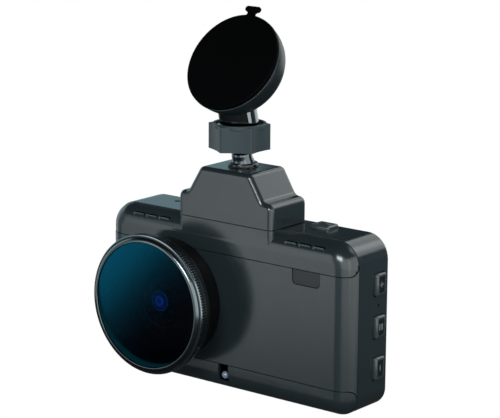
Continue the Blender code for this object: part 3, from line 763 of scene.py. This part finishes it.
def make_rear_shell():
    sections = [(0.0, PARTING_Y + SEAM / 2)]
    for step in range(9):
        angle = radians(11.25 * step)
        sections.append((BACK_R * (1 - cos(angle)), BODY_D - BACK_R * (1 - sin(angle))))
    shape = body_loft(sections)
    piece = add_piece("rear_shell_moulding", shape, "camera", "body", "rear_shell")
    carve(piece, body_loft([(WALL, PARTING_Y - 2.0), (WALL, BODY_D - WALL)]))
    cutters = bmesh.new()
    gap = CUT_GAP
    near, far = SIDE_CUT
    low, high = node_mm("display_glass")
    add_box(cutters, (low.x - gap, BODY_D - 1.1, low.z - gap), (high.x + gap, BODY_D + 1, high.z + gap))
    for low, high in side_buttons().values():
        add_box(cutters, (near, low.y - gap, low.z - gap), (far, high.y + gap, high.z + gap))
    low, high = node_mm("power_button")
    add_box(cutters, (low.x - gap, low.y - gap, TOP_CUT[0]), (high.x + gap, high.y + gap, TOP_CUT[1]))
    card_mouth = (-far, 12.2, 20.6), (-near, 14.0, 32.4)
    usb_mouth = (-far, 11.3, 8.2), (-near, 15.1, 17.8)
    add_box(cutters, *card_mouth)
    add_box(cutters, *usb_mouth)
    carve(piece, cutters)
    drills = bmesh.new()
    for x, _, z in screw_places():
        add_revolve(drills, rod(1.9, BODY_D - 1.1, BODY_D + 1), (x, 0, z), DEPTH_AXIS, 32)
    add_revolve(drills, rod(0.5, near, far), (0, *PINHOLE), WIDTH_AXIS, 20)
    add_revolve(drills, rod(1.1, 50.0, 56.0), (*TOP_HOLE, 0), UP_AXIS, 32)
    carve(piece, drills)
    soften(piece, EDGE_ROUND)


def make_parting_liner():
    """Tongue behind the parting line, so that the gap is closed from inside."""
    outer, inner = WALL + 0.05, WALL + 0.6
    shape = body_loft([(outer, PARTING_Y - 1.2), (outer, PARTING_Y + 1.2)])
    piece = add_piece("parting_liner", shape, "camera", "dark")
    carve(piece, body_loft([(inner, PARTING_Y - 3.0), (inner, PARTING_Y + 3.0)]))


def screw_places():
    """Middle of the head face of each of the four body screws."""
    places = []
    for number in range(1, 5):
        low, high = node_mm(f"body_screw_{number}")
        places.append(((low.x + high.x) / 2, high.y, (low.z + high.z) / 2))
    return places


def make_screws():
    """Countersunk heads with a cross recess."""
    head = [(0, -4.0), (0.9, -4.0), (0.9, -0.6), (1.6, -0.5), (1.6, -0.15), (1.45, 0), (0, 0)]
    for number, (x, y, z) in enumerate(screw_places(), 1):
        piece = add_piece(f"body_screw_head_{number}", revolve(head, (x, y, z), DEPTH_AXIS, 40), "camera",
                          "steel", f"body_screw_{number}")
        for wide, tall in ((0.95, 0.2), (0.2, 0.95)):
            carve(piece, box((x - wide, y - 0.45, z - tall), (x + wide, y + 1.0, z + tall)))


def make_screen():
    low, high = node_mm("display_glass")
    glass = add_piece("screen_cover", box(low, high, 0.3, 4), "camera", "screen",
                      "display_glass")
    smooth(glass, 40)
    side, edge = 5.2, 2.8
    area = box((low.x + side, high.y - 0.02, low.z + edge), (high.x - side, high.y + 0.015, high.z - edge))
    add_piece("screen_active_area", area, "camera", "lcd")


def button_sign(name, face, middle):
    """Plus, minus or three bars, standing just proud of the inlay."""
    bars = {"plus": ((0.0, 0.95, 0.17), (0.0, 0.17, 0.95)), "minus": ((0.0, 0.17, 0.95),),
            "menu": ((-0.7, 0.15, 1.0), (0.0, 0.15, 1.0), (0.7, 0.15, 1.0))}
    shape = bmesh.new()
    for offset, half_y, half_z in bars[name]:
        y, z = middle.y + offset, middle.z
        add_box(shape, (face - 0.05, y - half_y, z - half_z), (face + 0.03, y + half_y, z + half_z), 0.02, 1)
    return shape


def make_side_buttons():
    """Dished caps with a raised rim and a plain printed sign, turned with the body."""
    dish_rim, inlay_rim = 0.95, 1.0
    for name, (low, high) in side_buttons().items():
        node = f"{name}_button"
        piece = add_piece(f"{node}_cap", box(low, high, 0.75, 5), node, "button", node)
        dish = box((high.x - 0.22, low.y + dish_rim, low.z + dish_rim),
                   (high.x + 1, high.y - dish_rim, high.z - dish_rim), 0.1, 2)
        carve(piece, dish)
        smooth(piece, 40)
        face = high.x - 0.16
        inlay = box((high.x - 0.30, low.y + inlay_rim, low.z + inlay_rim),
                    (face, high.y - inlay_rim, high.z - inlay_rim), 0.05, 1)
        add_piece(f"{node}_inlay", inlay, node, "inlay")
        add_piece(f"{node}_sign", button_sign(name, face, (low + high) / 2), node, "icon")


def make_power_button():
    low, high = node_mm("power_button")
    piece = add_piece("power_button_cap", box(low, high, 0.75, 5), "power_button", "button",
                      "power_button")
    rim = 1.1
    dish = box((low.x + rim, low.y + rim, high.z - 0.15), (high.x - rim, high.y - rim, high.z + 1), 0.1, 2)
    carve(piece, dish)
    smooth(piece, 40)


def make_usb_socket():
    low, high = node_mm("usb_socket")
    shell = add_piece("usb_socket_shell", box(low, high, 1.2, 5), "camera", "steel",
                      "usb_socket")
    wall, end = 0.35, 1.4
    mouth = box((low.x - 2, low.y + wall, low.z + wall), (high.x - 1.5, high.y - wall, high.z - wall), 1.0, 5)
    carve(shell, mouth)
    y = (low.y + high.y) / 2
    tongue = box((low.x + 0.8, y - wall, low.z + end), (high.x - end, y + wall, high.z - end), 0.1, 1)
    add_piece("usb_socket_tongue", tongue, "camera", "dark")


def make_memory_card():
    low, high = node_mm("memory_card")
    notch_x, notch_z = low.x + 13.0, low.z + 2.0
    card = [(low.x, low.z), (notch_x, low.z), (high.x, notch_z), (high.x, high.z), (low.x, high.z)]
    piece = add_piece("memory_card_body", prism(card, "y", low.y, high.y), "memory_card", "card",
                      "memory_card")
    soften(piece, 0.15)


# ---- lens pieces

def turned_piece(name, profile, body, finish, replaced=None, segments=128):
    """A piece that is round about the lens axis; its profile is in (radius, y) pairs."""
    add_piece(name, revolve(profile, CENTRE, DEPTH_AXIS, segments), body, finish, replaced)


def fine_line(inner, wide, front_y, deep):
    outer, back_y = inner + wide, front_y + deep
    return [(inner, front_y), (outer, front_y), (outer, back_y), (inner, back_y)]


def make_lens():
    shroud = [(9.9, 2.2), (16.4, 2.2), (16.4, -0.3), (19.2, -0.3), (19.4, -0.9), (20.5, -6.6),
              (20.5, -7.0), (18.9, -7.0), (18.6, -6.4), (17.4, -5.6), (17.2, -4.6), (14.6, -4.0),
              (14.4, -3.1), (11.6, -2.5), (10.4, -1.6), (9.9, -1.2)]
    turned_piece("lens_shroud_moulding", rounded(shroud, 0.25), "camera", "shroud",
                 "lens_shroud")
    mount = [(19.0, -7.25), (21.0, -7.25), (21.3, -7.6), (21.3, -9.55), (19.0, -9.55)]
    turned_piece("filter_mount", rounded(mount, 0.2), "camera", "ring", "filter_mount_ring")
    barrel = [(4.6, 4.5), (9.3, 4.5), (9.3, -5.2), (8.9, -5.6), (7.4, -5.6), (7.1, -1.0), (4.6, 0.5)]
    turned_piece("lens_barrel_turned", rounded(barrel, 0.15), "camera", "lens_black",
                 "lens_barrel", 96)
    dome = [(0, ELEMENT_FRONT)]
    for step in range(8, 85, 8):
        angle = radians(step)
        dome.append((ELEMENT_R * sin(angle), ELEMENT_FRONT + ELEMENT_BULGE * (1 - cos(angle))))
    dome += [(ELEMENT_R, ELEMENT_FRONT + ELEMENT_BULGE), (ELEMENT_R, ELEMENT_BACK), (0, ELEMENT_BACK)]
    turned_piece("front_element_dome", dome, "camera", "element", "front_element", 96)
    # Painted highlights: an emitting line for the barrel's rim seen through the filter, and two blue emitting
    # rings for light caught on the front element.
    turned_piece("lens_rim_painted_highlight", fine_line(8.60, 0.16, -5.80, 0.25), "camera", "line")
    for size, inner, wide, front_y in (("small", 1.05, 0.42, -7.00), ("wide", 3.1, 0.10, -6.66)):
        line = fine_line(inner, wide, front_y, 0.3)
        turned_piece(f"painted_highlight_ring_{size}", line, "camera", "blue", segments=64)


def behind_front(profile):
    """Turn depths behind the ring's front face into places in the camera frame."""
    return [(radius, RING_FRONT + depth) for radius, depth in profile]


def make_filter():
    """Knurled ring with a bright cut edge, the disc with its painted reflection, and its retaining ring."""
    long, bore, seat = RING_BACK - RING_FRONT, 19.3, 1.3
    waist = RING_R - 0.35
    outer = [(bore, long), (21.9, long), (22.05, long - 0.1), (waist, long - 0.4), (waist, 1.4),
             (RING_R - 0.15, 1.2), (waist, 1.05), (21.5, 1.0), (21.35, 0.9), (21.25, 0.65), (20.5, 0.5),
             (20.3, 0.45), (20.1, 0.5), (20.0, seat), (bore, seat)]
    turned_piece("filter_ring_turned", behind_front(outer), "filter", "ring", "filter_ring",
                 FINE_TURN)
    teeth = knurl(RING_BACK - 0.25, RING_FRONT + 1.6)
    add_piece("filter_knurl", teeth, "filter", "knurl", sharp=25)
    root = RING_R - KNURL_DEPTH
    rim = [(root, 1.45), (RING_R - 0.02, 1.45), (RING_R, 1.3), (RING_R - 0.12, 1.08), (root, 1.0)]
    turned_piece("filter_bright_rim", behind_front(rim), "filter", "edge", segments=FINE_TURN)
    lip = [(20.02, 0.70), (20.02, 0.12), (20.10, 0.02), (20.22, 0.0), (20.45, 0.03), (20.75, 0.15),
           (21.05, 0.36), (21.30, 0.64), (21.42, 0.86), (21.42, 0.98), (21.20, 0.98)]
    turned_piece("filter_ring_face", behind_front(lip), "filter", "face", segments=FINE_TURN)
    disc = [(0, 0.3), (19.7, 0.3), (19.95, 0.5), (19.95, 1.2), (0, 1.2)]
    # the disc carries the painted teal reflection of the filter glass
    turned_piece("filter_disc", behind_front(disc), "filter", "filter", "filter_glass")
    retainer = rounded([(18.1, -12.3), (19.0, -12.3), (19.0, -11.2), (18.1, -11.2)], 0.1)
    turned_piece("filter_retainer_ring", retainer, "filter", "ring", "filter_retainer", 96)


def knurl(back, front):
    """Straight grip teeth round the ring, cut square with narrow tops."""
    high, low, bore, chamfer = RING_R, RING_R - KNURL_DEPTH, RING_R - KNURL_DEPTH - 0.3, 0.12
    sections = ((back, high - chamfer, low), (back - chamfer, high, low), (front + chamfer, high, low),
                (front, high - chamfer, low), (front, bore, bore), (back, bore, bore))
    shape = bmesh.new()
    rings = []
    for y, top, valley in sections:
        ring = []
        for tooth in range(KNURL_TEETH):
            for part, radius in ((0.0, valley), (0.48, valley), (0.54, top), (0.94, top)):
                angle = tau * (tooth + part) / KNURL_TEETH
                x, z = LENS_X + radius * cos(angle), LENS_Z + radius * sin(angle)
                ring.append(shape.verts.new((x, y, z)))
        rings.append(ring)
    join_rings(shape, rings + rings[:1])
    return shape


# ---- bracket pieces

def bracket_half_outline(inset):
    """Half outline of the bracket, from its seat up to the top middle, with true round corners.

    The inset moves every edge inward; convex corners get tighter and the hollow one wider.
    """
    top = BRACKET_HIGH.z
    corners = [(BRACKET_HALF, BRACKET_LOW.z), (BRACKET_HALF, 61.9), (14.9, 62.3), (9.9, top), (0.0, top)]
    radii = (2.1, 2.4, 2.0)
    points = [(BRACKET_HALF - inset, BRACKET_LOW.z)]
    for index, radius in enumerate(radii, 1):
        before, here, after = (Vector(corners[index + step]) for step in (-1, 0, 1))
        along_in, along_out = (here - before).normalized(), (after - here).normalized()
        turn = along_in.cross(along_out)
        side = 1.0 if turn > 0 else -1.0
        left_in = Vector((-along_in.y, along_in.x)) * side
        left_out = Vector((-along_out.y, along_out.x)) * side
        centre = here + (left_in + left_out) * radius / (1 + left_in.dot(left_out))
        reach = max(radius - inset * side, 0.05)
        start = degrees(atan2(-left_in.y, -left_in.x))
        sweep = degrees(asin(max(-1.0, min(1.0, turn))))
        points += arc(reach, start, start + sweep, 8, centre)
    points.append((0.0, top - inset))
    return points


def make_bracket():
    """Moulded cover: rounded front and back rims, a hollow shoulder and a stem hole."""
    depth = BRACKET_HIGH.y - BRACKET_FRONT
    rims = []
    for step in range(9):
        angle = radians(90 * step / 8)
        rims.append((BRACKET_ROUND * (1 - sin(angle)), BRACKET_ROUND * (1 - cos(angle))))
    rims += [(inset, depth - y) for inset, y in reversed(rims)]
    rings = []
    for inset, y in rims:
        right = bracket_half_outline(inset)
        outline = right + [(-x, z) for x, z in reversed(right[:-1])]
        rings.append([(x, BRACKET_FRONT + y, z) for x, z in outline])
    piece = add_piece("bracket_moulding", skin(rings), "bracket", "body",
                      "bracket_housing", 50)
    half = BRACKET_HALF - BRACKET_WALL
    inner = [(half, 50), (half, 59.8), (13.0, 60.3), (8.5, BRACKET_HIGH.z - BRACKET_WALL)]
    inner += [(-x, z) for x, z in reversed(inner)]
    carve(piece, prism(inner, "y", BRACKET_FRONT + BRACKET_WALL, BRACKET_HIGH.y - BRACKET_WALL), sharp=50)
    carve(piece, revolve(rod(2.75, 6.0, 16.0), BALL, STEM_DOWN, 48), sharp=50)
    keep_flat(piece)


def make_stem():
    """Ball with a thin neck that flares into the stem, and the collar where it enters the bracket."""
    low, high = node_mm("stem_base_ring")
    middle = (low + high) / 2
    half, tall = (high.x - low.x) / 2, high.z - low.z
    bore, edge = 3.85, 0.45
    ring = [(bore, 0), (half, 0)] + arc(edge, 0, 90, 6, (half - edge, tall - edge))
    ring += [(bore + 0.15, tall), (bore, tall - 0.2)]
    add_piece("stem_collar", revolve(ring, (middle.x, middle.y, low.z), UP_AXIS, 72), "bracket",
              "collar", "stem_base_ring")
    start = degrees(acos(THIN_STEM_R / BALL_R))
    profile = [(0.0, -BALL_R)] + arc(BALL_R, -85, start, 20)
    profile += [(THIN_STEM_R, 3.9), (2.5, 4.4), (2.9, 4.9), (3.15, 5.3), (3.2, 5.8), (3.24, 6.9),
                (3.32, 7.4), (3.5, 7.85), (3.6, 8.2), (3.6, 8.45), (3.4, 8.6), (THIN_STEM_R, 8.6),
                (THIN_STEM_R, 15.6), (0, 15.6)]
    add_piece("ball_stem_turned", revolve(profile, BALL, STEM_DOWN, 96), "ball_stem", "stem",
              "ball_stem")


def nut_outline():
    """Hexagon with hollow flats and round corners."""
    radius = (NUT_HIGH.x - NUT_LOW.x) / 2 / cos(radians(NUT_TURN - 60))
    corners = [Vector(point) for point in arc(radius, NUT_TURN, NUT_TURN + 300, 5)]
    points = []
    for index, here in enumerate(corners):
        after = corners[(index + 1) % 6]
        inward = -(here + after).normalized()
        side = []
        for step in range(9):
            t = 0.07 + 0.86 * step / 8
            side.append(here.lerp(after, t) + inward * NUT_HOLLOW * 4 * t * (1 - t))
        if index:
            points += bend(points[-1], here, side[0])
        points += side
    points += bend(points[-1], corners[0], points[0])
    return [(BALL.x + point.x, BALL.y + point.y) for point in points]


def bend(before, corner, after, steps=4):
    """Points strictly between two others on a smooth turn round a corner."""
    return [bend_point(before, corner, after, step / steps) for step in range(1, steps)]


def on_ball_axis(profile, segments=96):
    """Revolve a profile about the upright through the ball; its heights are the frame's own."""
    return revolve(profile, (BALL.x, BALL.y, 0), UP_AXIS, segments)


def make_nut():
    """Lock nut with hollow flats, a raised ring on its top face and a plain bore."""
    shape = prism(nut_outline(), "z", NUT_LOW.z, NUT_HIGH.z)
    piece = add_piece("lock_nut_moulding", shape, "lock_nut", "nut", "lock_nut", 28)
    top, ring_r = NUT_HIGH.z, 8.35
    collar = rounded([(0, top - 1.0), (ring_r, top - 1.0), (ring_r, top + 0.3), (0, top + 0.3)], 0.2)
    carve(piece, on_ball_axis(collar), "UNION", 28)
    seat_z = 78.2
    bore = [(0, 70.0), (6.2, 70.0), (6.2, seat_z), (7.5, seat_z), (7.5, 90.0), (0, 90.0)]
    carve(piece, on_ball_axis(bore), sharp=28)
    soften(piece, 0.3, 3, 40)


def make_neck():
    """Mirror-bright neck that grows out of the ball's socket with a small round flange."""
    low_z, wall_r, edge = 78.6, 7.2, 0.35
    socket = [(0, low_z), (wall_r - 0.2, low_z), (wall_r, low_z + 0.2), (wall_r, SOCKET_TOP - 0.4)]
    socket += arc(edge, 0, 90, 5, (wall_r - edge, SOCKET_TOP - edge)) + [(0, SOCKET_TOP)]
    piece = add_piece("neck_socket", on_ball_axis(socket), "suction_mount", "chrome",
                      "socket_neck")
    carve(piece, revolve(rod(NECK_R, -1.6, 11.2), NECK_START, NECK_AXIS, 128), "UNION")
    ball = [(0.0, -SOCKET_R)] + arc(SOCKET_R, -85, 85, 24) + [(0.0, SOCKET_R)]
    carve(piece, revolve(ball, BALL, UP_AXIS, 72), sharp=30)
    soften(piece, 0.25, 3, 40)


def pad_piece(name, profile, finish, replaced=None):
    """A piece that is round about the middle of the pad, with depths measured from the glass."""
    return add_piece(name, revolve(profile, PAD_CENTRE, -PAD_NORMAL, 144), "suction_mount", finish,
                     replaced, 40 if replaced else 35)


def make_cup():
    """Deep dome, its thin bright lip, and the black pad with a pull tab."""
    dome = [(0.0, 1.7), (15.55, 1.7), (15.85, 1.85), (15.95, 2.3), (15.9, 3.2), (15.75, 4.3), (15.45, 5.6),
            (15.0, 6.9), (14.4, 8.1), (13.65, 9.2), (12.75, 10.2), (11.6, 11.1), (10.2, 11.9), (8.4, 12.55),
            (6.0, 13.0), (3.0, 13.25), (0.0, 13.3)]
    piece = pad_piece("suction_dome_moulding", dome, "dome", "suction_dome")
    carve(piece, revolve(rod(NECK_R + 0.2, -1.6, 11.5), NECK_START, NECK_AXIS, 96), sharp=40)
    disc = [(0.0, 0.0), (15.2, 0.0), (15.75, 0.08), (16.02, 0.3), (16.1, 0.7), (16.0, 1.1), (15.7, 1.35),
            (0.0, 1.4)]
    pad = pad_piece("suction_pad_moulding", disc, "pad", "suction_pad")
    carve(pad, pull_tab(), "UNION", 40)
    lip = rounded([(15.5, 1.42), (16.12, 1.42), (16.16, 1.66), (15.5, 1.66)], 0.09)
    pad_piece("suction_dome_lip", lip, "nut")


def pull_tab():
    """T-shaped tab in the plane of the pad, at its upper edge, with soft edges."""
    end_r, end_x, end_y = 0.95, 1.95, 18.15
    outline = [(2.6, 14.8), (1.9, 15.6), (1.5, 16.3), (1.45, 16.8)] + arc(end_r, -90, 90, 12, (end_x, end_y))
    outline += [(-x, y) for x, y in reversed(outline)]
    shape = prism(outline, "z", -1.25, -0.15)
    rims = [edge for edge in shape.edges if abs(edge.verts[0].co.z - edge.verts[1].co.z) < 1e-6]
    bmesh.ops.bevel(shape, geom=rims, offset=0.35, segments=3, profile=0.5, affect="EDGES")
    return laid(shape, PAD_CENTRE, WIDTH_AXIS, PAD_NORMAL)


# ---- what stays from the frame

def finish_frame_nodes():
    """Give the remaining CAD nodes their finishes."""
    wanted = {
        "steel": ("heat_spreader", "keeper_plate", "plus_switch", "menu_switch", "minus_switch",
                  "power_switch", "microphone", "card_socket", "magnet_left", "magnet_right", "stem_nut"),
        "board": ("main_board", "sensor_board", "button_board"),
        "dark": ("light_sensor_module", "lcd_panel", "image_sensor", "speaker", "supercapacitor_1",
                 "supercapacitor_2", "aperture_ring", "lens_holder", "bracket_plate"),
        "pale": ("contact_pads", "contact_block", "socket_liner"),
        # the rear element shares the front element's painted glow
        "element": ("rear_element",),
    }
    for finish, names in wanted.items():
        for name in names:
            mesh = frame["nodes"][name].data
            mesh.materials.clear()
            mesh.materials.append(MATERIALS[finish])


# ---- stage, light and camera

def camera_sees(tree, seen, lit, output):
    """Show one shader to the camera and light the object with the other."""
    path = tree.nodes.new("ShaderNodeLightPath")
    mix = tree.nodes.new("ShaderNodeMixShader")
    tree.links.new(path.outputs["Is Camera Ray"], mix.inputs["Fac"])
    tree.links.new(lit, mix.inputs[1])
    tree.links.new(seen, mix.inputs[2])
    tree.links.new(mix.outputs["Shader"], output.inputs["Surface"])


def make_stage():
    shape = bmesh.new()
    bmesh.ops.create_grid(shape, x_segments=1, y_segments=1, size=FLOOR_HALF)
    floor = link_mesh("floor", shape)
    floor.location = (0, 0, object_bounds()[0].z - FLOOR_DROP)
    nodes = Nodes("pale floor")
    nodes.set(Base_Color=(0.030, 0.032, 0.034, 1.0), Roughness=0.9, Specular_IOR_Level=0.1)
    white = nodes.new("Emission")
    camera_sees(nodes.tree, white.outputs["Emission"], nodes.shader.outputs["BSDF"], nodes.output)
    floor.data.materials.append(nodes.material)
    floor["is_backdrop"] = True


def make_world():
    world = bpy.data.worlds.new("studio")
    bpy.context.scene.world = world
    world.use_nodes = True
    tree = world.node_tree
    seen = tree.nodes["Background"]
    seen.inputs["Color"].default_value = (1, 1, 1, 1)
    lit = tree.nodes.new("ShaderNodeBackground")
    lit.inputs["Color"].default_value = (0.55, 0.85, 1.0, 1)
    lit.inputs["Strength"].default_value = 0.04
    camera_sees(tree, seen.outputs["Background"], lit.outputs["Background"], tree.nodes["World Output"])
    bpy.context.scene.view_settings.view_transform = "Standard"


def direction(azimuth, elevation):
    azimuth, elevation = radians(azimuth), radians(elevation)
    level = cos(elevation)
    return Vector((sin(azimuth) * level, -cos(azimuth) * level, sin(elevation)))


def softbox(name, azimuth, elevation, wide, tall, radiance, tint=LIGHT_TINT):
    """A rectangular light of a given angular size, turned from the front (-Y) towards the right."""
    away = direction(azimuth, elevation)
    data = bpy.data.lights.new(name, "AREA")
    data.shape = "RECTANGLE"
    data.size = 2 * LIGHT_REACH * tan(radians(wide / 2))
    data.size_y = 2 * LIGHT_REACH * tan(radians(tall / 2))
    data.energy = radiance * pi * data.size * data.size_y
    data.color = tint
    light = link_object(name, data)
    light.location = BASE + LIGHT_AIM * MM + away * LIGHT_REACH
    light.rotation_euler = (-away).to_track_quat("-Z", "Y").to_euler()


def make_lights():
    softbox("front_left_box", -33, -12, 21, 72, 2.0)
    softbox("left_dim_box", -60, 0, 33, 50, 0.6, DIM_TINT)
    softbox("front_dim_box", -4, -4, 36, 44, 0.75, DIM_TINT)
    softbox("right_box", 42, 7, 54, 50, 2.5)
    softbox("far_right_box", 93, -5, 60, 76, 2.4)
    softbox("small_key", 12, 28, 24, 16, 19.0)
    softbox("back_right_box", 145, 40, 38, 44, 2.0)
    softbox("back_right_dim_box", 148, -20, 34, 60, 0.16, DIM_TINT)
    softbox("left_fill_box", -123, 12, 37, 34, 0.6, DIM_TINT)
    softbox("back_left_box", -140, -20, 50, 26, 0.7, DIM_TINT)
    softbox("back_low_fill_box", 185, -42, 60, 28, 1.2)
    softbox("back_box", 178, 20, 44, 60, 1.5)
    softbox("left_box", -93, 4, 30, 50, 1.1)
    softbox("low_left_strip", -22, -41, 30, 14, 2.0)


def make_camera():
    """A long lens to the right of the front and a little above, as the object is shown."""
    away = direction(VIEW_AZIMUTH, VIEW_ELEVATION)
    level = direction(VIEW_AZIMUTH + 90, 0.0)
    upright = away.cross(level)
    roll = radians(VIEW_ROLL)
    right = level * cos(roll) + upright * sin(roll)
    up = upright * cos(roll) - level * sin(roll)
    data = bpy.data.cameras.new("camera")
    data.sensor_width = 36.0
    data.lens = LENS_LENGTH
    data.clip_start = 0.05
    data.clip_end = 50.0
    camera = link_object("camera", data)
    spot = BASE + (VIEW_AIM + away * VIEW_DISTANCE + right * VIEW_RIGHT + up * VIEW_UP) * MM
    camera.matrix_world = Matrix.Translation(spot) @ Matrix((right, up, away)).transposed().to_4x4()
    bpy.context.scene.camera = camera


# ---- assembly

def main():
    for make in (make_front_panel, make_top_cap, make_bottom_cap, make_rear_shell, make_parting_liner,
                 make_screws, make_screen, make_side_buttons, make_power_button, make_usb_socket,
                 make_memory_card, make_lens, make_filter, make_bracket, make_stem, make_nut, make_neck,
                 make_cup, finish_frame_nodes, make_stage, make_world, make_lights, make_camera):
        make()


main()
